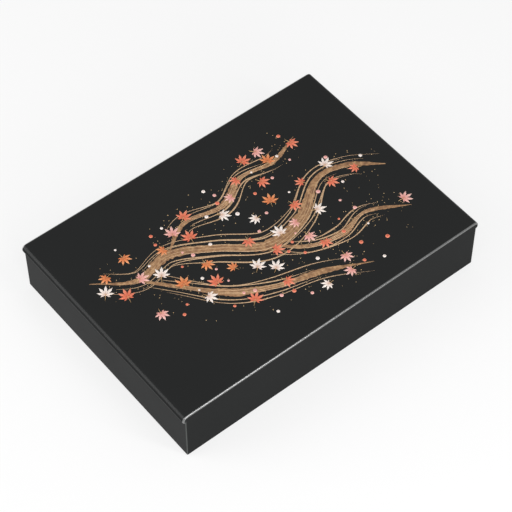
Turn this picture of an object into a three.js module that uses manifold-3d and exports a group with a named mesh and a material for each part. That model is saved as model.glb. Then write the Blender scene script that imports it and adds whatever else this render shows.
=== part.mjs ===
// Lacquer document box: a shallow tray under a lid whose skirts cover it down to the table.
// Millimetres, +Z up. The origin lies on the table under the middle of the box.
// X runs along the long sides, and the front long side faces -Y.

import * as THREE from "three";
import { mergeVertices } from "three/addons/utils/BufferGeometryUtils.js";
import Module from "manifold-3d";

// Outside of the closed box, measured over the skirts
const boxLength = 336;
const boxWidth = 240;
const boxHeight = 60;

// Lid
const lidThickness = 5.5;
const skirtThickness = 5;
const skirtCornerRadius = 1;
const skirtLift = 0.8; // the skirts hang this far above the table
const longEdgeRadius = 1.4;
const endOverhang = 2.5; // the rolled ends stand out past the short skirts
const endRollRadius = 5;
const lipDepth = 8.5; // from the top down to where the roll tucks in under itself
const railWidth = 24; // from the outside of a short skirt in to the panel
const tongueLength = 8;
const tongueThickness = 1.8;
const tongueStop = 14; // the tongue ends this far inside the long edges

// Tray
const lidPlay = 1; // between the skirts and the tray, all round
const wallThickness = 5;
const wallCornerRadius = 1.5;
const bottomThickness = 5;
const bottomLap = 2.5; // how far the bottom board reaches into the walls

// The long boards keep this much of their thickness past the ends of the short ones
const cornerLap = 2.5;

// Facets in each rounded stretch
const arcFacets = 14;

const lidUnderside = boxHeight - lidThickness;
const halfLength = boxLength / 2;
const halfWidth = boxWidth / 2;
const panelEnd = halfLength - railWidth;
const trayLength = boxLength - 2 * (skirtThickness + lidPlay);
const trayWidth = boxWidth - 2 * (skirtThickness + lidPlay);

const lacquer = { color: 0x292929, roughness: 0.22, metalness: 0 };
const innerLacquer = { color: 0x1d1b1a, roughness: 0.35, metalness: 0 };

const wasm = await Module();
wasm.setup();

// A closed geometry as a solid that can be joined and cut.
function solidOf(geometry) {
  const bare = geometry.clone();
  bare.deleteAttribute("normal");
  bare.deleteAttribute("uv");
  const merged = mergeVertices(bare);
  return new wasm.Manifold(
    new wasm.Mesh({
      numProp: 3,
      vertProperties: merged.getAttribute("position").array,
      triVerts: new Uint32Array(merged.index.array),
    }),
  );
}

function geometryOf(solid) {
  const mesh = solid.getMesh();
  const geometry = new THREE.BufferGeometry();
  geometry.setAttribute("position", new THREE.BufferAttribute(mesh.vertProperties, 3));
  geometry.setIndex(new THREE.BufferAttribute(mesh.triVerts, 1));
  geometry.computeVertexNormals();
  return geometry;
}

// A straight bar of the given section that runs along one axis from one place to another.
// The section is drawn in (x, y) for a bar along z, in (x, z) along y and in (y, z) along x.
function bar(section, axis, from, to) {
  const geometry = new THREE.ExtrudeGeometry(section, {
    depth: 1,
    bevelEnabled: false,
    curveSegments: arcFacets,
  });
  const points = geometry.getAttribute("position");
  for (let i = 0; i < points.count; i++) {
    const u = points.getX(i);
    const v = points.getY(i);
    const atFarEnd = points.getZ(i) > 1 / 2;
    if (axis === "x") points.setXYZ(i, atFarEnd ? to : from, u, v);
    if (axis === "y") points.setXYZ(i, u, atFarEnd ? from : to, v);
    if (axis === "z") points.setXYZ(i, u, v, atFarEnd ? to : from);
  }
  return solidOf(geometry);
}

function rectangle(left, right, low, high) {
  const outline = new THREE.Shape();
  outline.moveTo(left, low);
  outline.lineTo(right, low);
  outline.lineTo(right, high);
  outline.lineTo(left, high);
  return outline;
}

// The front board of a frame in plan: rounded outer corners, and a step at each end on its
// inner side, in which the short board's end seats.
function longBoardPlan(length, width, thickness, cornerRadius) {
  const x = length / 2;
  const y = -width / 2;
  const r = Math.min(cornerRadius, cornerLap);
  const outline = new THREE.Shape();
  outline.moveTo(-x + r, y);
  outline.lineTo(x - r, y);
  outline.absarc(x - r, y + r, r, -Math.PI / 2, 0, false);
  outline.lineTo(x, y + cornerLap);
  outline.lineTo(x - thickness, y + cornerLap);
  outline.lineTo(x - thickness, y + thickness);
  outline.lineTo(-x + thickness, y + thickness);
  outline.lineTo(-x + thickness, y + cornerLap);
  outline.lineTo(-x, y + cornerLap);
  outline.absarc(-x + r, y + r, r, Math.PI, (3 * Math.PI) / 2, false);
  return outline;
}

// The same solid on the opposite side of the box.
function acrossBox(solid) {
  return solid.rotate([0, 0, 180]);
}

// The four boards of a rectangular frame, lapped at the corners.
function frameBoards({ length, width, thickness, cornerRadius, low, high }) {
  const x = length / 2;
  const y = width / 2 - cornerLap;
  const front = bar(longBoardPlan(length, width, thickness, cornerRadius), "z", low, high);
  const right = bar(rectangle(x - thickness, x, -y, y), "z", low, high);
  return { front, back: acrossBox(front), right, left: acrossBox(right) };
}

// The lid's section across its width, with both top edges eased.
function lidSection(low) {
  const r = Math.min(longEdgeRadius, lidThickness);
  const outline = new THREE.Shape();
  outline.moveTo(-halfWidth, low);
  outline.lineTo(halfWidth, low);
  outline.absarc(halfWidth - r, boxHeight - r, r, 0, Math.PI / 2, false);
  outline.absarc(-halfWidth + r, boxHeight - r, r, Math.PI / 2, Math.PI, false);
  return outline;
}

// The end rail's section along the box: flat on top, rolled over at the end, and tucked back
// under itself to meet the short skirt.
function railSection() {
  const tipCentre = halfLength + endOverhang - endRollRadius;
  const outline = new THREE.Shape();
  outline.moveTo(panelEnd, boxHeight);
  outline.lineTo(panelEnd, lidUnderside);
  outline.lineTo(halfLength, lidUnderside);
  outline.lineTo(halfLength, boxHeight - lipDepth);
  outline.absellipse(
    halfLength,
    boxHeight - endRollRadius,
    endOverhang,
    lipDepth - endRollRadius,
    -Math.PI / 2,
    0,
    false,
  );
  outline.absarc(tipCentre, boxHeight - endRollRadius, endRollRadius, 0, Math.PI / 2, false);
  return outline;
}

// The tongue on the panel's end, which the rail's groove takes.
function tongue() {
  const middle = boxHeight - lidThickness / 2;
  const reach = halfWidth - tongueStop;
  const section = rectangle(-reach, reach, middle - tongueThickness / 2, middle + tongueThickness / 2);
  return bar(section, "x", panelEnd, panelEnd + tongueLength);
}

function lidPanel() {
  const board = bar(lidSection(lidUnderside), "x", -panelEnd, panelEnd);
  return board.add(tongue()).add(acrossBox(tongue()));
}

function lidEndRail() {
  const rolled = bar(railSection(), "y", -halfWidth, halfWidth);
  const eased = bar(
    lidSection(boxHeight - lipDepth),
    "x",
    panelEnd,
    halfLength + endOverhang,
  );
  return rolled.intersect(eased).subtract(tongue());
}

function trayBottom() {
  const x = trayLength / 2 - bottomLap;
  const y = trayWidth / 2 - bottomLap;
  return bar(rectangle(-x, x, -y, y), "z", 0, bottomThickness);
}

function addBoard(group, name, solid, finish) {
  const mesh = new THREE.Mesh(geometryOf(solid), new THREE.MeshStandardMaterial(finish));
  mesh.name = name;
  group.add(mesh);
}

const tray = new THREE.Group();
addBoard(tray, "tray_bottom", trayBottom(), innerLacquer);
const walls = frameBoards({
  length: trayLength,
  width: trayWidth,
  thickness: wallThickness,
  cornerRadius: wallCornerRadius,
  low: 0,
  high: lidUnderside,
});
for (const [side, board] of Object.entries(walls)) {
  addBoard(tray, `tray_${side}_wall`, board.subtract(trayBottom()), innerLacquer);
}

const lid = new THREE.Group();
addBoard(lid, "lid_panel", lidPanel(), lacquer);
addBoard(lid, "lid_right_end_rail", lidEndRail(), lacquer);
addBoard(lid, "lid_left_end_rail", acrossBox(lidEndRail()), lacquer);
const skirts = frameBoards({
  length: boxLength,
  width: boxWidth,
  thickness: skirtThickness,
  cornerRadius: skirtCornerRadius,
  low: skirtLift,
  high: lidUnderside,
});
for (const [side, board] of Object.entries(skirts)) {
  addBoard(lid, `lid_${side}_skirt`, board, lacquer);
}

const documentBox = new THREE.Group();
documentBox.add(tray, lid);

export default documentBox;
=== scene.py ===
"""Lacquer document box: black lacquered lid and tray, streams and maple leaves in relief on the lid,
and the studio round it."""

import math
import random

import bmesh
import bpy
from mathutils import Matrix, Vector


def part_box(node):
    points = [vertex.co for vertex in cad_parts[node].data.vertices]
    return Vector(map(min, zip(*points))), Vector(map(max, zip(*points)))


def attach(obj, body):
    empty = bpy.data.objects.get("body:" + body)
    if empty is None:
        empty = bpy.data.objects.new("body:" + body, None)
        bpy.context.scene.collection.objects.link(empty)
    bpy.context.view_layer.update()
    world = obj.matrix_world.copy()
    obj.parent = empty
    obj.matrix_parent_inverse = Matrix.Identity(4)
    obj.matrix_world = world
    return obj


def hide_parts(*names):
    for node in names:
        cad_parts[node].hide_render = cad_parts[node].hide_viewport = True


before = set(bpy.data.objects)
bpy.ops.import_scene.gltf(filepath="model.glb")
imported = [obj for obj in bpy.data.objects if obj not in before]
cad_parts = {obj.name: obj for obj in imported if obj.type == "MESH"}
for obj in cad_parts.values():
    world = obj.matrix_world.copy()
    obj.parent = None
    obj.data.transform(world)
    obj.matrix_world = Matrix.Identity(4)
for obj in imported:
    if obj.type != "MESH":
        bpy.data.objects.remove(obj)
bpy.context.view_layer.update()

MM = 0.001

# Sizes read from the frame
panel_low, panel_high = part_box("lid_panel")
rail_low, rail_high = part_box("lid_right_end_rail")
skirt_low, skirt_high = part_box("lid_front_skirt")
side_low, side_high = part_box("lid_right_skirt")
wall_low, wall_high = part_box("tray_front_wall")
floor_low, floor_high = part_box("tray_bottom")

LID_TOP = panel_high.z
LID_UNDERSIDE = panel_low.z
LIP_BOTTOM = rail_low.z
HALF_LENGTH = side_high.x
HALF_WIDTH = -skirt_low.y
END_OVERHANG = rail_high.x - HALF_LENGTH
SKIRT_THICKNESS = side_high.x - side_low.x
SKIRT_BOTTOM = skirt_low.z
TRAY_HALF_LENGTH = wall_high.x
TRAY_HALF_WIDTH = -wall_low.y
TRAY_TOP = wall_high.z
TRAY_FLOOR = floor_high.z
WALL_THICKNESS = wall_high.y - wall_low.y

# Roundings of the lacquered edges
END_ROLL = 5 * MM
LONG_EDGE = 1.4 * MM
SKIRT_CORNER = 1.0 * MM
SKIRT_INNER_CORNER = 1.5 * MM
SKIRT_FOOT = 0.8 * MM
TRAY_CORNER = 1.5 * MM
TRAY_INNER_CORNER = 3.2 * MM
TRAY_FLOOR_CORNER = 0.4 * MM
TRAY_FOOT = 0.8 * MM
TRAY_RIM = 1.3 * MM
TRAY_COVE = 2.6 * MM

# Steps in a quarter turn of each rounding
ROLL_STEPS = 10
EDGE_STEPS = 8
COVE_STEPS = 8
RIM_STEPS = 6
CORNER_STEPS = 6
FOOT_STEPS = 5

# Degrees past which the shading breaks at a crease
BOARD_CREASE = 32
RELIEF_CREASE = 50

# Faces this near a plane belong to it
FLUSH = 0.002 * MM
INSIDE_MARGIN = 0.1 * MM

# How far a rounded edge is lightened towards the pale grey by a painted highlight, from 0 to 1
LONG_EDGE_HIGHLIGHT = 0.25
SKIRT_CORNER_HIGHLIGHT = 0.55
TRAY_CORNER_HIGHLIGHT = 0.2

# The camera that took the picture, worked out from the box's own edges
CAMERA_AZIMUTH = -38.73
CAMERA_ELEVATION = 52.37
CAMERA_ROLL = -0.25
CAMERA_DISTANCE = 1799.6 * MM
CAMERA_SIDE = 4.28 * MM
CAMERA_RISE = 16.38 * MM
FOCAL_PIXELS = 1928.24
PICTURE_PIXELS = 512
SENSOR = 36
CAMERA_REACH = 20

# Places of the colour sockets on a Mix node
MIX_FIRST, MIX_SECOND, MIX_RESULT = 6, 7, 2

# Places of the number sockets on a Random Value node
CHANCE_LOWEST, CHANCE_HIGHEST, CHANCE_SEED, CHANCE_VALUE = 2, 3, 8, 1


def colour(hex_text):
    """A screen colour as the linear values that a shader takes."""
    parts = [int(hex_text[i:i + 2], 16) / 255 for i in (0, 2, 4)]
    linear = [c / 12.92 if c <= 0.04045 else ((c + 0.055) / 1.055) ** 2.4 for c in parts]
    return (*linear, 1)


# Finishes

class Shader:
    """A material whose nodes are added one by one."""

    def __init__(self, name):
        self.material = bpy.data.materials.new(name)
        self.material.use_nodes = True
        self.tree = self.material.node_tree
        self.surface = self.tree.nodes["Principled BSDF"]

    def node(self, kind, **settings):
        """A new node with the given settings."""
        made = self.tree.nodes.new(kind)
        for key, value in settings.items():
            setattr(made, key, value)
        return made

    def link(self, source, target):
        """Joins an output to an input."""
        self.tree.links.new(source, target)

    def drive(self, source, socket):
        """Joins an output to one of the surface's inputs."""
        self.link(source, self.surface.inputs[socket])

    def set(self, **sockets):
        """Sets the surface's inputs, with _ for each space in their names."""
        for name, value in sockets.items():
            self.surface.inputs[name.replace("_", " ")].default_value = value

    def place(self):
        """The place on the object, in metres."""
        return self.node("ShaderNodeTexCoord").outputs["Object"]

    def painted_on(self, attribute):
        """A value that the mesh carries at its points."""
        return self.node("ShaderNodeAttribute", attribute_name=attribute).outputs["Fac"]

    def noise(self, scale, detail, roughness=0.5):
        """Cloudy variation from 0 to 1."""
        made = self.node("ShaderNodeTexNoise")
        self.link(self.place(), made.inputs["Vector"])
        made.inputs["Scale"].default_value = scale
        made.inputs["Detail"].default_value = detail
        made.inputs["Roughness"].default_value = roughness
        return made.outputs["Fac"]

    def ramp(self, source, stops):
        """Colours at their places along a value."""
        made = self.node("ShaderNodeValToRGB")
        self.link(source, made.inputs["Fac"])
        elements = made.color_ramp.elements
        elements[0].position, elements[0].color = stops[0]
        elements[1].position, elements[1].color = stops[-1]
        for position, value in stops[1:-1]:
            elements.new(position).color = value
        return made.outputs["Color"]

    def spread(self, source, low, high):
        """A value from 0 to 1 spread between two others."""
        made = self.node("ShaderNodeMapRange")
        self.link(source, made.inputs["Value"])
        made.inputs["To Min"].default_value = low
        made.inputs["To Max"].default_value = high
        return made.outputs["Result"]

    def math(self, operation, first, second, clamp=False):
        """A sum of an output and another output or a number."""
        made = self.node("ShaderNodeMath", operation=operation, use_clamp=clamp)
        self.link(first, made.inputs[0])
        if isinstance(second, float):
            made.inputs[1].default_value = second
        else:
            self.link(second, made.inputs[1])
        return made.outputs[0]

    def mix(self, factor, first, second):
        """A blend of two colours, each a tuple or an output."""
        made = self.node("ShaderNodeMix", data_type="RGBA")
        self.link(factor, made.inputs["Factor"])
        for socket, value in ((MIX_FIRST, first), (MIX_SECOND, second)):
            if isinstance(value, tuple):
                made.inputs[socket].default_value = value
            else:
                self.link(value, made.inputs[socket])
        return made.outputs[MIX_RESULT]

    def bump(self, source, strength, height):
        """A fine unevenness in the skin."""
        made = self.node("ShaderNodeBump")
        self.link(source, made.inputs["Height"])
        made.inputs["Strength"].default_value = strength
        made.inputs["Distance"].default_value = height
        self.drive(made.outputs["Normal"], "Normal")


BLACK = colour("232424")
BLACK_DEEP = colour("1f2020")
# Pale grey mixed into the rounded edges as a painted highlight
EDGE_HIGHLIGHT_GREY = colour("6c6f6d")
FLAKE = colour("a9854f")
PLAIN_IOR = 1.5

# Gold dust in the lacquer: cells to the metre, and the share of them that stays bare
DUST_CELLS = 900
BARE_CELLS = 0.72


def black_lacquer(name, roughness, gloss, ior=PLAIN_IOR):
    """Deep black lacquer, polished by hand: a fine skin, and a painted highlight that makes the rounded
    edges paler.
    """
    shader = Shader(name)
    black = shader.mix(shader.noise(scale=9, detail=2), BLACK_DEEP, BLACK)
    # Painted highlight: the rounded edges are mixed towards a pale grey by the edge layer
    tone = shader.mix(shader.painted_on("edge"), black, EDGE_HIGHLIGHT_GREY)
    shader.drive(tone, "Base Color")
    sheen = shader.spread(shader.noise(scale=34, detail=4), roughness * 0.85, roughness * 1.15)
    shader.drive(sheen, "Roughness")
    shader.set(Specular_IOR_Level=gloss, IOR=ior)
    shader.bump(shader.noise(scale=420, detail=2), strength=0.05, height=0.1 * MM)
    return shader.material


def dusted_lacquer(name):
    """Black lacquer sown with gold dust, for the inside of the tray."""
    shader = Shader(name)
    cells = shader.node("ShaderNodeTexVoronoi", feature="F1")
    shader.link(shader.place(), cells.inputs["Vector"])
    cells.inputs["Scale"].default_value = DUST_CELLS
    near = shader.ramp(cells.outputs["Distance"], [(0.18, (1, 1, 1, 1)), (0.3, (0, 0, 0, 1))])
    draw = shader.node("ShaderNodeSeparateColor")
    shader.link(cells.outputs["Color"], draw.inputs["Color"])
    chosen = shader.math("GREATER_THAN", draw.outputs["Red"], BARE_CELLS)
    flakes = shader.math("MULTIPLY", near, chosen)
    shader.drive(shader.mix(flakes, BLACK, FLAKE), "Base Color")
    shader.drive(shader.spread(flakes, 0.24, 0.4), "Roughness")
    shader.set(Specular_IOR_Level=0.2)
    shader.bump(flakes, strength=0.3, height=0.05 * MM)
    return shader.material


def gold(name, pale, middle, dark, grain, roughness=0.42):
    """Sprinkled gold powder, mottled from pale gold to brown."""
    shader = Shader(name)
    tone = shader.ramp(
        shader.noise(scale=grain, detail=5, roughness=0.62),
        [(0.3, colour(dark)), (0.5, colour(middle)), (0.68, colour(pale))],
    )
    shader.drive(tone, "Base Color")
    shader.set(Metallic=0.15, Roughness=roughness)
    shader.bump(shader.noise(scale=2600, detail=2), strength=0.35, height=0.08 * MM)
    return shader.material


def painted(name, heart, body, rim):
    """Coloured lacquer on a leaf, deepest at the heart, with powder worn thin towards the points."""
    shader = Shader(name)
    tone = shader.ramp(
        shader.painted_on("reach"),
        [(0.0, colour(heart)), (0.42, colour(body)), (1.0, colour(rim))],
    )
    mottling = shader.spread(shader.noise(scale=900, detail=3), 0.0, 0.35)
    shader.drive(shader.mix(mottling, tone, colour(rim)), "Base Color")
    shader.set(Roughness=0.38, Specular_IOR_Level=0.3)
    shader.bump(shader.noise(scale=1800, detail=2), strength=0.3, height=0.08 * MM)
    return shader.material


LID_LACQUER = black_lacquer("lid_top_lacquer", roughness=0.2, gloss=0.12)
EDGE_LACQUER = black_lacquer("lid_edge_lacquer", roughness=0.22, gloss=1.0, ior=2.0)
SIDE_LACQUER = black_lacquer("lid_side_lacquer", roughness=0.3, gloss=0.015)
TRAY_LACQUER = black_lacquer("tray_black_lacquer", roughness=0.3, gloss=0.05)
INNER_LACQUER = dusted_lacquer("gold_dusted_lacquer")
LINE_GOLD = gold("line_gold", "e0be92", "c4a27f", "a07a55", grain=700)
BANK_GOLD = gold("bank_gold", "c49c72", "9c7552", "735139", grain=200, roughness=0.5)
DUST_GOLD = gold("dust_gold", "e8c99a", "c9a878", "a5825a", grain=500)
VEIN_GOLD = gold("vein_gold", "e8c896", "cda774", "a87f52", grain=800)
LEAF_CORAL = painted("leaf_coral", "b2412c", "dd6a4e", "f0a184")
LEAF_ORANGE = painted("leaf_orange", "a8441f", "d8743f", "efb07f")
LEAF_PINK = painted("leaf_pink", "c46a66", "e5a19a", "f3cfc6")
LEAF_WHITE = painted("leaf_white", "cfa79a", "efe2da", "faf4ee")

# The lid board's finishes, in the order in which its mesh holds them
LID_FINISHES = (LID_LACQUER, EDGE_LACQUER, SIDE_LACQUER)
ON_EDGE = 1
ON_SIDE = 2


# Meshes and pieces

def placed(name, data):
    """A new object in the scene."""
    made = bpy.data.objects.new(name, data)
    bpy.context.scene.collection.objects.link(made)
    return made


def settled(carrier, name):
    """The carrier's mesh with its modifiers applied. The carrier goes."""
    depsgraph = bpy.context.evaluated_depsgraph_get()
    mesh = bpy.data.meshes.new_from_object(carrier.evaluated_get(depsgraph))
    mesh.name = name
    bpy.data.objects.remove(carrier)
    return mesh


def add_piece(name, mesh, body, finishes=(), replaced=()):
    """Puts a finished mesh on its body."""
    for finish in finishes:
        mesh.materials.append(finish)
    piece = placed(name, mesh)
    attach(piece, body)
    if replaced:
        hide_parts(*replaced)


def bridge(shell, low, high):
    """Faces between two rows that go round in step."""
    for i in range(len(low)):
        j = (i + 1) % len(low)
        shell.faces.new((low[i], low[j], high[j], high[i]))


def mesh_from(shell, name):
    """The drawn shell as a mesh, with its faces outwards."""
    bmesh.ops.recalc_face_normals(shell, faces=shell.faces[:])
    mesh = bpy.data.meshes.new(name)
    shell.to_mesh(mesh)
    shell.free()
    return mesh


def shaded(mesh, crease):
    """Smooth shading between creases."""
    mesh.shade_smooth()
    mesh.set_sharp_from_angle(angle=math.radians(crease))
    return mesh


def lofted(name, loops, painted_highlight, ring):
    """A closed shell through loops of points, each with the strength of its painted highlight. A ring
    joins its last loop to its first. Otherwise both ends are filled."""
    shell = bmesh.new()
    # The edge layer holds how strongly each point takes the painted highlight
    edge = shell.verts.layers.float.new("edge")
    rows = []
    for loop, amounts in zip(loops, painted_highlight):
        row = [shell.verts.new(point) for point in loop]
        for vertex, amount in zip(row, amounts):
            vertex[edge] = amount
        rows.append(row)
    for low, high in zip(rows, rows[1:]):
        bridge(shell, low, high)
    if ring:
        bridge(shell, rows[-1], rows[0])
    else:
        shell.faces.new(rows[0])
        shell.faces.new(rows[-1])
    mesh = shaded(mesh_from(shell, name), BOARD_CREASE)
    carrier = placed("carrier", mesh)
    flats = carrier.modifiers.new("flats", "WEIGHTED_NORMAL")
    flats.keep_sharp = True
    flats.weight = 90
    return settled(carrier, mesh.name)


def quarter(steps):
    """Angles of a quarter turn, both ends included."""
    return [math.pi / 2 * i / steps for i in range(steps + 1)]


def drawn_back(angle, radius):
    """How far a rounded edge draws back from its two faces, at one angle of its arc."""
    return radius * (1 - math.cos(angle)), radius * (1 - math.sin(angle))


def rounded_loop(half_x, half_y, radius, z):
    """A rectangle with round corners at one height, and how near each point is to a corner's middle."""
    points, nearness = [], []
    for turn, (sx, sy) in enumerate(((1, 1), (-1, 1), (-1, -1), (1, -1))):
        cx, cy = sx * (half_x - radius), sy * (half_y - radius)
        for i in range(CORNER_STEPS + 1):
            angle = math.pi / 2 * (turn + i / CORNER_STEPS)
            points.append(Vector((cx + radius * math.cos(angle), cy + radius * math.sin(angle), z)))
            nearness.append(math.sin(math.pi * i / CORNER_STEPS))
    return points, nearness


# Lid and tray

def lid_profile():
    """The lid board's outline along the box: x and z of each place, and the way it faces."""
    tip = HALF_LENGTH + END_OVERHANG - END_ROLL
    centre = LID_TOP - END_ROLL
    tuck = centre - LIP_BOTTOM
    half = []
    for angle in quarter(ROLL_STEPS):
        nx, nz = math.sin(angle), math.cos(angle)
        half.append((tip + END_ROLL * nx, centre + END_ROLL * nz, nx, nz))
    for angle in quarter(ROLL_STEPS)[1:]:
        x = HALF_LENGTH + END_OVERHANG * math.cos(angle)
        z = centre - tuck * math.sin(angle)
        facing = Vector((math.cos(angle) / END_OVERHANG, -math.sin(angle) / tuck)).normalized()
        half.append((x, z, facing.x, facing.y))
    half.append((HALF_LENGTH, LID_UNDERSIDE, 0, 0))
    mirrored = [(-x, z, -nx, nz) for x, z, nx, nz in reversed(half)]
    return half + mirrored


def lid_board_mesh():
    """The top board with its rolled ends, its long edges eased into the sides."""
    profile = lid_profile()
    loops, painted_highlight = [], []
    eased = quarter(EDGE_STEPS)
    for side, angle in [(-1, a) for a in reversed(eased)] + [(1, a) for a in eased]:
        y = side * (HALF_WIDTH - LONG_EDGE + LONG_EDGE * math.sin(angle))
        inset = LONG_EDGE * (1 - math.cos(angle))
        # Painted highlight: paler halfway round the eased long edge, on its upward faces
        highlight_strength = LONG_EDGE_HIGHLIGHT * math.sin(2 * angle)
        loops.append([Vector((x - nx * inset, y, z - nz * inset)) for x, z, nx, nz in profile])
        painted_highlight.append([highlight_strength * max(0, nz) for x, z, nx, nz in profile])
    mesh = lofted("lid_board", loops, painted_highlight, ring=False)
    for face in mesh.polygons:
        depth = HALF_WIDTH - abs(face.center.y)
        if depth < FLUSH:
            face.material_index = ON_SIDE
        elif depth < LONG_EDGE:
            face.material_index = ON_EDGE
        elif face.center.z < LID_TOP - END_ROLL / 2:
            face.material_index = ON_SIDE
    return mesh


def skirt_mesh():
    """The four skirts as one lacquered band, open above and below."""
    section = [(0, LID_UNDERSIDE)]
    for angle in quarter(FOOT_STEPS):
        inset, rise = drawn_back(angle, SKIRT_FOOT)
        section.append((inset, SKIRT_BOTTOM + rise))
    for angle in reversed(quarter(FOOT_STEPS)):
        inset, rise = drawn_back(angle, SKIRT_FOOT)
        section.append((SKIRT_THICKNESS - inset, SKIRT_BOTTOM + rise))
    section.append((SKIRT_THICKNESS, LID_UNDERSIDE))
    loops, painted_highlight = [], []
    for inset, z in section:
        share = inset / SKIRT_THICKNESS
        radius = SKIRT_CORNER + (SKIRT_INNER_CORNER - SKIRT_CORNER) * share
        points, nearness = rounded_loop(HALF_LENGTH - inset, HALF_WIDTH - inset, radius, z)
        loops.append(points)
        # Painted highlight: the outer vertical corners of the skirts are made paler
        painted_highlight.append([SKIRT_CORNER_HIGHLIGHT * n * (inset < SKIRT_FOOT) for n in nearness])
    return lofted("lid_skirts", loops, painted_highlight, ring=True)


def tray_section():
    """The tray from its foot up, over the rim and down to its floor: insets from outside, and heights."""
    section = []
    for angle in reversed(quarter(FOOT_STEPS)):
        section.append(drawn_back(angle, TRAY_FOOT))
    for angle in quarter(RIM_STEPS):
        inset, drop = drawn_back(angle, TRAY_RIM)
        section.append((inset, TRAY_TOP - drop))
    for angle in reversed(quarter(RIM_STEPS)):
        inset, drop = drawn_back(angle, TRAY_RIM)
        section.append((WALL_THICKNESS - inset, TRAY_TOP - drop))
    for angle in quarter(COVE_STEPS):
        inset, rise = drawn_back(angle, TRAY_COVE)
        section.append((WALL_THICKNESS + inset, TRAY_FLOOR + rise))
    return section


def tray_mesh():
    """The tray: walls with a rounded rim, and a floor that meets them in a cove."""
    loops, painted_highlight = [], []
    for inset, z in tray_section():
        share = min(1, inset / WALL_THICKNESS)
        radius = TRAY_CORNER + (TRAY_INNER_CORNER - TRAY_CORNER) * share
        if inset > WALL_THICKNESS:
            radius = max(TRAY_FLOOR_CORNER, TRAY_INNER_CORNER - (inset - WALL_THICKNESS))
        points, nearness = rounded_loop(TRAY_HALF_LENGTH - inset, TRAY_HALF_WIDTH - inset, radius, z)
        loops.append(points)
        # Painted highlight: the tray's outer vertical corners are made paler
        painted_highlight.append([TRAY_CORNER_HIGHLIGHT * n * (inset < TRAY_FOOT) for n in nearness])
    mesh = lofted("tray", loops, painted_highlight, ring=False)
    inside_x = TRAY_HALF_LENGTH - WALL_THICKNESS + INSIDE_MARGIN
    inside_y = TRAY_HALF_WIDTH - WALL_THICKNESS + INSIDE_MARGIN
    for face in mesh.polygons:
        within = abs(face.center.x) <= inside_x and abs(face.center.y) <= inside_y
        face.material_index = int(within and face.center.z > TRAY_FLOOR / 2)
    return mesh


add_piece(
    "lid_board_lacquer", lid_board_mesh(), "lid", LID_FINISHES,
    replaced=("lid_panel", "lid_left_end_rail", "lid_right_end_rail"),
)
add_piece(
    "lid_skirt_lacquer", skirt_mesh(), "lid", [SIDE_LACQUER],
    replaced=("lid_front_skirt", "lid_back_skirt", "lid_left_skirt", "lid_right_skirt"),
)
add_piece(
    "tray_lacquer", tray_mesh(), "tray", [TRAY_LACQUER, INNER_LACQUER],
    replaced=("tray_bottom", "tray_front_wall", "tray_back_wall", "tray_left_wall", "tray_right_wall"),
)


# Streams on the lid

# Middle lines of the streams in millimetres on the lid, seen from above
STREAMS = {
    "main": [
        (-148, 46), (-112, 22), (-74, 28), (-36, 8), (4, -20), (48, -14), (88, 12), (120, 8), (150, -14),
    ],
    "back": [(-74, 28), (-40, 48), (0, 42), (34, 58), (70, 54), (104, 66)],
    "front": [(4, -20), (32, -44), (66, -52), (98, -46), (136, -66)],
    "near": [(-112, 22), (-86, -8), (-56, -40), (-20, -60), (24, -74), (66, -94)],
}
BANK_WIDTHS = {"main": 10.5, "back": 6.0, "front": 5.5, "near": 7.0}
LINE_OFFSETS = {
    "main": (-13.5, -10.2, -7.4, 7.4, 9.9, 13.2),
    "back": (-9.2, -6.0, 5.2, 8.4),
    "front": (-9.0, -5.8, 5.0, 8.0),
    "near": (-10.0, -6.8, 5.8, 9.0),
}
STREAK_SHARES = (-0.3, -0.05, 0.24)  # of the bank's width, from its middle line
STREAK_OFFSETS = {
    name: [share * width for share in STREAK_SHARES] for name, width in BANK_WIDTHS.items()
}
STREAM_SAMPLES = 120

RELIEF_SINK = 0.15 * MM
LINE_RELIEF = 0.22 * MM
BANK_RELIEF = 0.28 * MM
STREAK_RELIEF = 0.4 * MM

# A ridge's section: shares of its half width, and of its height, or SUNK in the lacquer
SUNK = -1
RIDGE_SECTION = ((-1, SUNK), (-1, 0.1), (-0.6, 0.8), (0, 1), (0.6, 0.8), (1, 0.1), (1, SUNK))
RIDGE_TIP = 0.03
RIDGE_TAPER = 0.68
RIDGE_TIP_HEIGHT = 0.4
RIDGE_SWELL = 0.28
RIDGE_WAVES = 17
BANK_RAGGEDNESS = 0.16
SWING_WAVES = 9

DESIGN_SEED = 11


def flowing(points):
    """A smooth line through the points."""
    dots = [Vector(p) for p in points]
    dots = [2 * dots[0] - dots[1], *dots, 2 * dots[-1] - dots[-2]]
    spans = len(dots) - 3
    line = []
    for k in range(STREAM_SAMPLES + 1):
        place = min(spans - 1e-9, spans * k / STREAM_SAMPLES)
        i = int(place)
        t = place - i
        a, b, c, d = dots[i:i + 4]
        line.append(0.5 * ((2 * b) + (c - a) * t + (2 * a - 5 * b + 4 * c - d) * t ** 2
                           + (3 * b - a - 3 * c + d) * t ** 3))
    return line


def across(line, i):
    """The direction across a line at one of its points."""
    along = (line[min(i + 1, len(line) - 1)] - line[max(i - 1, 0)]).normalized()
    return Vector((-along.y, along.x))


def beside(line, offset, swing, phase):
    """A line that keeps beside another, and swings nearer and further."""
    last = len(line) - 1
    moved = []
    for i, point in enumerate(line):
        swung = 1 + swing * math.sin(phase + SWING_WAVES * i / last)
        moved.append(point + across(line, i) * (offset * swung))
    return moved


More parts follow.
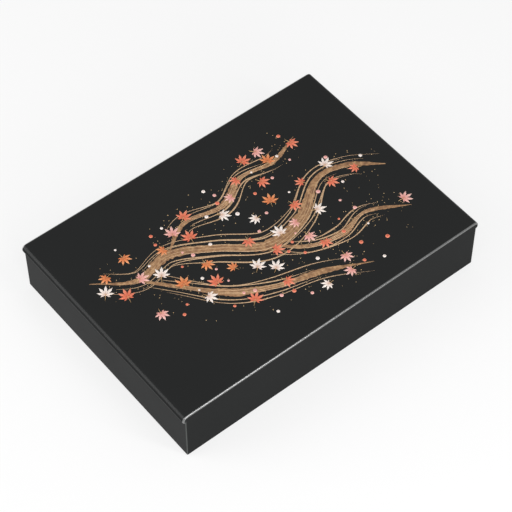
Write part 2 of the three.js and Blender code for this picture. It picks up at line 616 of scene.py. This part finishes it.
def add_ridge(shell, line, width, relief, ragged=None):
    """A low closed ridge along a line on the lid, thinning out to both ends. Ragged is a source of
    chance for uneven sides."""
    last = len(line) - 1
    rows = []
    for i, point in enumerate(line):
        taper = max(RIDGE_TIP, math.sin(math.pi * i / last)) ** RIDGE_TAPER
        half = width / 2 * taper * (1 + RIDGE_SWELL * math.sin(width + RIDGE_WAVES * i / last))
        height = relief * (RIDGE_TIP_HEIGHT + (1 - RIDGE_TIP_HEIGHT) * taper)
        left = right = 1
        if ragged:
            left = 1 + BANK_RAGGEDNESS * ragged.uniform(-1, 1)
            right = 1 + BANK_RAGGEDNESS * ragged.uniform(-1, 1)
        row = []
        for out, up in RIDGE_SECTION:
            at = (point + across(line, i) * (out * half * (left if out < 0 else right))) * MM
            z = LID_TOP - RELIEF_SINK if up == SUNK else LID_TOP + up * height
            row.append(shell.verts.new((at.x, at.y, z)))
        rows.append(row)
    for low, high in zip(rows, rows[1:]):
        bridge(shell, low, high)
    shell.faces.new(rows[0])
    shell.faces.new(rows[-1])


def stream_banks():
    """The broad mottled body of each stream."""
    chance = random.Random(DESIGN_SEED)
    shell = bmesh.new()
    for name, points in STREAMS.items():
        add_ridge(shell, flowing(points), BANK_WIDTHS[name], BANK_RELIEF, chance)
    return shaded(mesh_from(shell, "stream_banks"), RELIEF_CREASE)


def threads(name, seed, offsets, starts, stops, swing, widths, relief):
    """Fine ridges that run with the streams. Starts and stops say how many samples of the stream a
    ridge may leave out at each end."""
    chance = random.Random(seed)
    shell = bmesh.new()
    for stream, points in STREAMS.items():
        middle = flowing(points)
        for offset in offsets[stream]:
            start = chance.randint(*starts)
            end = len(middle) - chance.randint(*stops)
            line = beside(middle, offset, swing, phase=chance.uniform(0, 6))[start:end]
            add_ridge(shell, line, chance.uniform(*widths), relief)
    return shaded(mesh_from(shell, name), RELIEF_CREASE)


def stream_lines():
    """The fine gold lines that run beside each stream and part from it."""
    return threads(
        "stream_lines", DESIGN_SEED + 1, LINE_OFFSETS, starts=(0, 26), stops=(1, 30),
        swing=0.22, widths=(0.7, 1.5), relief=LINE_RELIEF,
    )


def stream_streaks():
    """Lighter streaks that run along the body of each stream."""
    return threads(
        "stream_streaks", DESIGN_SEED + 2, STREAK_OFFSETS, starts=(4, 24), stops=(5, 30),
        swing=0.25, widths=(0.6, 1.0), relief=STREAK_RELIEF,
    )


add_piece("stream_banks", stream_banks(), "lid", [BANK_GOLD])
add_piece("stream_lines", stream_lines(), "lid", [LINE_GOLD])
add_piece("stream_streaks", stream_streaks(), "lid", [LINE_GOLD])


# Maple leaves, berries and gold dust, sown along the streams

# The leaf has radius 1. Each lobe has its angle from the top and its length
LEAF_LOBES = [(-118, 0.5), (-78, 0.78), (-39, 0.94), (0, 1.0), (39, 0.94), (78, 0.78), (118, 0.5)]

# Round a lobe: degrees from its middle, and shares of its length
LOBE_EDGE = [(-13, 0.54), (-12, 0.66), (-6.5, 0.76), (0, 1), (6.5, 0.76), (12, 0.66), (13, 0.54)]
LEAF_NOTCH = 0.1
LEAF_SHOULDER = 0.16
SHOULDER_TURN = 17
LEAF_VALLEY = 0.38
LEAF_HEIGHT = 0.052
SMALL_LEAF = 8 * MM
LEAF_SINK = RELIEF_SINK / SMALL_LEAF

# The leaf's layers from below: share of the outline, and height
LEAF_LAYERS = ((1, -LEAF_SINK), (1, LEAF_HEIGHT * 0.45), (0.93, LEAF_HEIGHT * 0.9), (0.55, LEAF_HEIGHT))
VEIN_REACH = 0.92
VEIN_START = -0.02
VEIN_WIDTH = 0.028
VEIN_END = 0.35
STALK_LENGTH = 0.62
STALK_WIDTH = 0.034
VEIN_FOOT = LEAF_HEIGHT * 0.3
VEIN_CREST = LEAF_HEIGHT * 1.25
VEIN_TIP = LEAF_HEIGHT * 1.05

# The drop has radius 1 as well
DROP_SIDES = 8
DROP_LAYERS = ((1, -0.2), (1, 0.05), (0.7, 0.26))
DROP_CROWN = 0.34
DROP_REACH = 0.75


def on_circle(degrees, radius):
    """A point round the leaf's heart, with 0 degrees at the top."""
    angle = math.radians(degrees)
    return Vector((radius * math.sin(angle), radius * math.cos(angle), 0))


def leaf_outline():
    """Round the leaf: the notch at the stalk, a shoulder, the lobes with valleys between them, and
    the other shoulder."""
    first_angle, last_angle = LEAF_LOBES[0][0], LEAF_LOBES[-1][0]
    outline = [on_circle(180, LEAF_NOTCH), on_circle(first_angle - SHOULDER_TURN, LEAF_SHOULDER)]
    before = None
    for angle, length in LEAF_LOBES:
        if before is not None:
            outline.append(on_circle((before + angle) / 2, LEAF_VALLEY))
        for turn, share in LOBE_EDGE:
            outline.append(on_circle(angle + turn, length * share))
        before = angle
    outline.append(on_circle(last_angle + SHOULDER_TURN, LEAF_SHOULDER))
    return outline


def add_fan(shell, row, middle):
    """Faces from a row to one point."""
    for i in range(len(row)):
        shell.faces.new((row[i], row[(i + 1) % len(row)], middle))


def leaf_motif():
    """One raised leaf, with how far each point reaches from its heart."""
    shell = bmesh.new()
    reach = shell.verts.layers.float.new("reach")
    outline = leaf_outline()
    rows = []
    for scale, z in LEAF_LAYERS:
        row = []
        for point in outline:
            vertex = shell.verts.new((point.x * scale, point.y * scale, z))
            vertex[reach] = min(1, point.length * scale)
            row.append(vertex)
        rows.append(row)
    for low, high in zip(rows, rows[1:]):
        bridge(shell, low, high)
    add_fan(shell, rows[-1], shell.verts.new((0, 0, LEAF_HEIGHT)))
    add_fan(shell, rows[0], shell.verts.new((0, 0, -LEAF_SINK)))
    return shaded(mesh_from(shell, "leaf"), RELIEF_CREASE)


def vein_end(shell, middle, side, crest):
    """The triangle at one end of a vein."""
    corners = ((middle - side, VEIN_FOOT), (middle + side, VEIN_FOOT), (middle, crest))
    return [shell.verts.new(at + Vector((0, 0, z))) for at, z in corners]


def vein_motif():
    """The leaf's gold veins and stalk, as fine ridges that stand on it."""
    shell = bmesh.new()
    ridges = [(angle, VEIN_REACH * length, VEIN_WIDTH) for angle, length in LEAF_LOBES]
    ridges.append((180, STALK_LENGTH, STALK_WIDTH))
    for angle, length, width in ridges:
        side = on_circle(angle + 90, width)
        base = vein_end(shell, on_circle(angle, VEIN_START), side, VEIN_CREST)
        tip = vein_end(shell, on_circle(angle, length), side * VEIN_END, VEIN_TIP)
        bridge(shell, base, tip)
        shell.faces.new(base)
        shell.faces.new(tip)
    return shaded(mesh_from(shell, "veins"), RELIEF_CREASE)


def drop_motif():
    """A low round drop."""
    shell = bmesh.new()
    reach = shell.verts.layers.float.new("reach")
    rows = []
    for radius, z in DROP_LAYERS:
        row = []
        for i in range(DROP_SIDES):
            angle = 2 * math.pi * i / DROP_SIDES
            vertex = shell.verts.new((radius * math.cos(angle), radius * math.sin(angle), z))
            vertex[reach] = DROP_REACH * radius
            row.append(vertex)
        rows.append(row)
    for low, high in zip(rows, rows[1:]):
        bridge(shell, low, high)
    add_fan(shell, rows[-1], shell.verts.new((0, 0, DROP_CROWN)))
    shell.faces.new(rows[0])
    return shaded(mesh_from(shell, "drop"), RELIEF_CREASE)


def sowing_tree():
    """Geometry nodes that set a motif on each point, turned and sized by chance."""
    tree = bpy.data.node_groups.new("sow_motifs", "GeometryNodeTree")
    for name, kind in (("Geometry", "NodeSocketGeometry"), ("Motif", "NodeSocketObject"),
                       ("Smallest", "NodeSocketFloat"), ("Largest", "NodeSocketFloat"),
                       ("Seed", "NodeSocketInt"), ("Finish", "NodeSocketMaterial")):
        tree.interface.new_socket(name, in_out="INPUT", socket_type=kind)
    tree.interface.new_socket("Geometry", in_out="OUTPUT", socket_type="NodeSocketGeometry")
    nodes, links = tree.nodes, tree.links
    given = nodes.new("NodeGroupInput")
    motif = nodes.new("GeometryNodeObjectInfo")
    turn = nodes.new("FunctionNodeRandomValue")
    turn.inputs[CHANCE_LOWEST].default_value = 0
    turn.inputs[CHANCE_HIGHEST].default_value = 2 * math.pi
    upright = nodes.new("ShaderNodeCombineXYZ")
    rotation = nodes.new("FunctionNodeEulerToRotation")
    size = nodes.new("FunctionNodeRandomValue")
    sow = nodes.new("GeometryNodeInstanceOnPoints")
    real = nodes.new("GeometryNodeRealizeInstances")
    finish = nodes.new("GeometryNodeSetMaterial")
    out = nodes.new("NodeGroupOutput")
    links.new(given.outputs["Geometry"], sow.inputs["Points"])
    links.new(given.outputs["Motif"], motif.inputs["Object"])
    links.new(motif.outputs["Geometry"], sow.inputs["Instance"])
    links.new(given.outputs["Seed"], turn.inputs[CHANCE_SEED])
    links.new(given.outputs["Seed"], size.inputs[CHANCE_SEED])
    links.new(given.outputs["Smallest"], size.inputs[CHANCE_LOWEST])
    links.new(given.outputs["Largest"], size.inputs[CHANCE_HIGHEST])
    links.new(turn.outputs[CHANCE_VALUE], upright.inputs["Z"])
    links.new(upright.outputs["Vector"], rotation.inputs["Euler"])
    links.new(rotation.outputs["Rotation"], sow.inputs["Rotation"])
    links.new(size.outputs[CHANCE_VALUE], sow.inputs["Scale"])
    links.new(sow.outputs["Instances"], real.inputs["Geometry"])
    links.new(real.outputs["Geometry"], finish.inputs["Geometry"])
    links.new(given.outputs["Finish"], finish.inputs["Material"])
    links.new(finish.outputs["Geometry"], out.inputs["Geometry"])
    return tree


SOWING = sowing_tree()
SOWING_INPUTS = {item.name: item.identifier for item in SOWING.interface.items_tree
                 if item.in_out == "INPUT"}


def add_sown(name, places, motif, smallest, largest, seed, finish):
    """A piece of the lid with one motif at each place."""
    ground = bpy.data.meshes.new(name + "_places")
    ground.from_pydata([(x * MM, y * MM, LID_TOP) for x, y in places], [], [])
    carrier = placed(name + "_places", ground)
    sowing = carrier.modifiers.new("sowing", "NODES")
    sowing.node_group = SOWING
    for label, value in (("Motif", motif), ("Smallest", smallest), ("Largest", largest),
                         ("Seed", seed), ("Finish", finish)):
        sowing[SOWING_INPUTS[label]] = value
    add_piece(name, settled(carrier, name), "lid")


DESIGN_MARGIN = 12
BARE_CORNER = (-92, -42)
TRIES_FOR_EACH = 60
STREAM_END = 3


def places_along(count, reach, apart, seed, taken=()):
    """Places near the streams, clear of each other, of the edges and of the bare corner."""
    chance = random.Random(seed)
    lines = [flowing(points) for points in STREAMS.values()]
    found = []
    for _ in range(count * TRIES_FOR_EACH):
        if len(found) == count:
            break
        line = chance.choice(lines)
        i = chance.randrange(STREAM_END, len(line) - STREAM_END)
        point = line[i] + across(line, i) * chance.gauss(0, reach)
        inside = (abs(point.x) < HALF_LENGTH / MM - DESIGN_MARGIN
                  and abs(point.y) < HALF_WIDTH / MM - DESIGN_MARGIN)
        bare = point.x < BARE_CORNER[0] and point.y < BARE_CORNER[1]
        clear = all((point - Vector(other)).length > apart for other in [*found, *taken])
        if inside and clear and not bare:
            found.append(tuple(point))
    return found


# Smallest and largest radius of each motif
LEAF_RADII = (7.4 * MM, 10.6 * MM)
BERRY_RADII = (1.1 * MM, 2.2 * MM)
DUST_RADII = (0.2 * MM, 0.5 * MM)
DUST_SEED = 4

LEAF_KINDS = (("coral", LEAF_CORAL, 0.38), ("orange", LEAF_ORANGE, 0.18),
              ("pink", LEAF_PINK, 0.22), ("white", LEAF_WHITE, 0.22))
BERRY_KINDS = (("coral", LEAF_CORAL), ("pink", LEAF_PINK), ("white", LEAF_WHITE))

leaf = placed("leaf_motif", leaf_motif())
veins = placed("vein_motif", vein_motif())
drop = placed("drop_motif", drop_motif())

leaf_places = places_along(count=46, reach=13, apart=15.5, seed=DESIGN_SEED)
unsown = leaf_places
for number, (tint, finish, share) in enumerate(LEAF_KINDS):
    is_last = number == len(LEAF_KINDS) - 1
    count = len(unsown) if is_last else round(share * len(leaf_places))
    chosen, unsown = unsown[:count], unsown[count:]
    add_sown("leaves_" + tint, chosen, leaf, *LEAF_RADII, number, finish)
    add_sown("leaf_veins_" + tint, chosen, veins, *LEAF_RADII, number, VEIN_GOLD)

berry_places = places_along(count=54, reach=18, apart=9.5, seed=DESIGN_SEED + 5, taken=leaf_places)
for number, (tint, finish) in enumerate(BERRY_KINDS):
    chosen = berry_places[number::len(BERRY_KINDS)]
    add_sown("berries_" + tint, chosen, drop, *BERRY_RADII, number, finish)

dust_places = places_along(count=700, reach=12, apart=1.2, seed=DESIGN_SEED + 9)
add_sown("gold_dust", dust_places, drop, *DUST_RADII, DUST_SEED, DUST_GOLD)

for motif in (leaf, veins, drop):
    bpy.data.objects.remove(motif)


# Studio

FLOOR_HALF = 6
FLOOR_WHITE = 0.86
FLOOR_GLOW = 0.72
SKY_BRIGHTNESS = 0.52


def towards(azimuth, elevation):
    """The unit direction from the box to a place round it, azimuth 0 being in front."""
    a, e = math.radians(azimuth), math.radians(elevation)
    return Vector((math.sin(a) * math.cos(e), -math.cos(a) * math.cos(e), math.sin(e)))


def add_camera():
    """The camera at the picture's place and angle."""
    back = towards(CAMERA_AZIMUTH, CAMERA_ELEVATION)
    right = Vector((0, 0, 1)).cross(back).normalized()
    up = back.cross(right)
    roll = math.radians(CAMERA_ROLL)
    right, up = (right * math.cos(roll) + up * math.sin(roll),
                 up * math.cos(roll) - right * math.sin(roll))
    data = bpy.data.cameras.new("camera")
    data.sensor_width = SENSOR
    data.lens = FOCAL_PIXELS * SENSOR / PICTURE_PIXELS
    data.clip_end = CAMERA_REACH
    camera = placed("camera", data)
    location = back * CAMERA_DISTANCE + right * CAMERA_SIDE + up * CAMERA_RISE
    turn = Matrix((right, up, back)).transposed()
    camera.matrix_world = Matrix.Translation(location) @ turn.to_4x4()
    bpy.context.scene.camera = camera


def add_softbox(name, direction, distance, width, height, brightness, aim=Vector((0, 0, 0))):
    """A rectangular lamp whose face has the given brightness, aimed at a point."""
    data = bpy.data.lights.new(name, "AREA")
    data.shape = "RECTANGLE"
    data.size, data.size_y = width, height
    data.energy = brightness * math.pi * width * height
    lamp = placed(name, data)
    direction = Vector(direction).normalized()
    lamp.rotation_mode = "QUATERNION"
    lamp.rotation_quaternion = direction.to_track_quat("Z", "Y")
    lamp.location = aim + direction * distance


def floor_material():
    """White to the eye and in the gloss, and still open to the box's shadow."""
    shader = Shader("white_floor")
    white = (FLOOR_WHITE, FLOOR_WHITE, FLOOR_WHITE, 1)
    shader.set(Base_Color=white, Roughness=0.9, Specular_IOR_Level=0.0)
    rays = shader.node("ShaderNodeLightPath").outputs
    seen = shader.math("ADD", rays["Is Camera Ray"], rays["Is Glossy Ray"], clamp=True)
    seen = shader.math("ADD", seen, rays["Is Transmission Ray"], clamp=True)
    share = shader.math("MULTIPLY", seen, FLOOR_GLOW)
    glow = shader.node("ShaderNodeEmission")
    mixed = shader.node("ShaderNodeMixShader")
    shader.link(share, mixed.inputs[0])
    shader.link(shader.surface.outputs[0], mixed.inputs[1])
    shader.link(glow.outputs[0], mixed.inputs[2])
    shader.link(mixed.outputs[0], shader.tree.nodes["Material Output"].inputs["Surface"])
    return shader.material


def add_floor():
    """The wide floor on which the box stands."""
    corners = [(-FLOOR_HALF, -FLOOR_HALF, 0), (FLOOR_HALF, -FLOOR_HALF, 0),
               (FLOOR_HALF, FLOOR_HALF, 0), (-FLOOR_HALF, FLOOR_HALF, 0)]
    mesh = bpy.data.meshes.new("floor")
    mesh.from_pydata(corners, [], [(0, 1, 2, 3)])
    mesh.materials.append(floor_material())
    floor = placed("floor", mesh)


def add_world():
    """Even light from all round."""
    world = bpy.data.worlds.new("studio")
    bpy.context.scene.world = world
    world.use_nodes = True
    background = world.node_tree.nodes["Background"]
    background.inputs["Color"].default_value = (1, 1, 1, 1)
    background.inputs["Strength"].default_value = SKY_BRIGHTNESS


add_camera()
add_floor()
add_world()
add_softbox(
    "edge_lamp", direction=(0.382, -0.6, 0.7), distance=1.5, width=0.2, height=1.2, brightness=8,
    aim=Vector((-0.28, -HALF_WIDTH, LID_TOP)),
)
add_softbox(
    "front_lamp", direction=(-0.2, -0.94, 0.3), distance=1.6, width=0.9, height=0.5, brightness=8,
)
add_softbox(
    "end_lamp", direction=(-0.79, 0.45, 0.42), distance=1.6, width=1.0, height=1.15, brightness=3.5,
)
add_softbox(
    "top_lamp", direction=(-0.45, -0.35, 1.0), distance=1.8, width=1.0, height=1.0, brightness=1,
)
bpy.context.scene.view_settings.view_transform = "Standard"
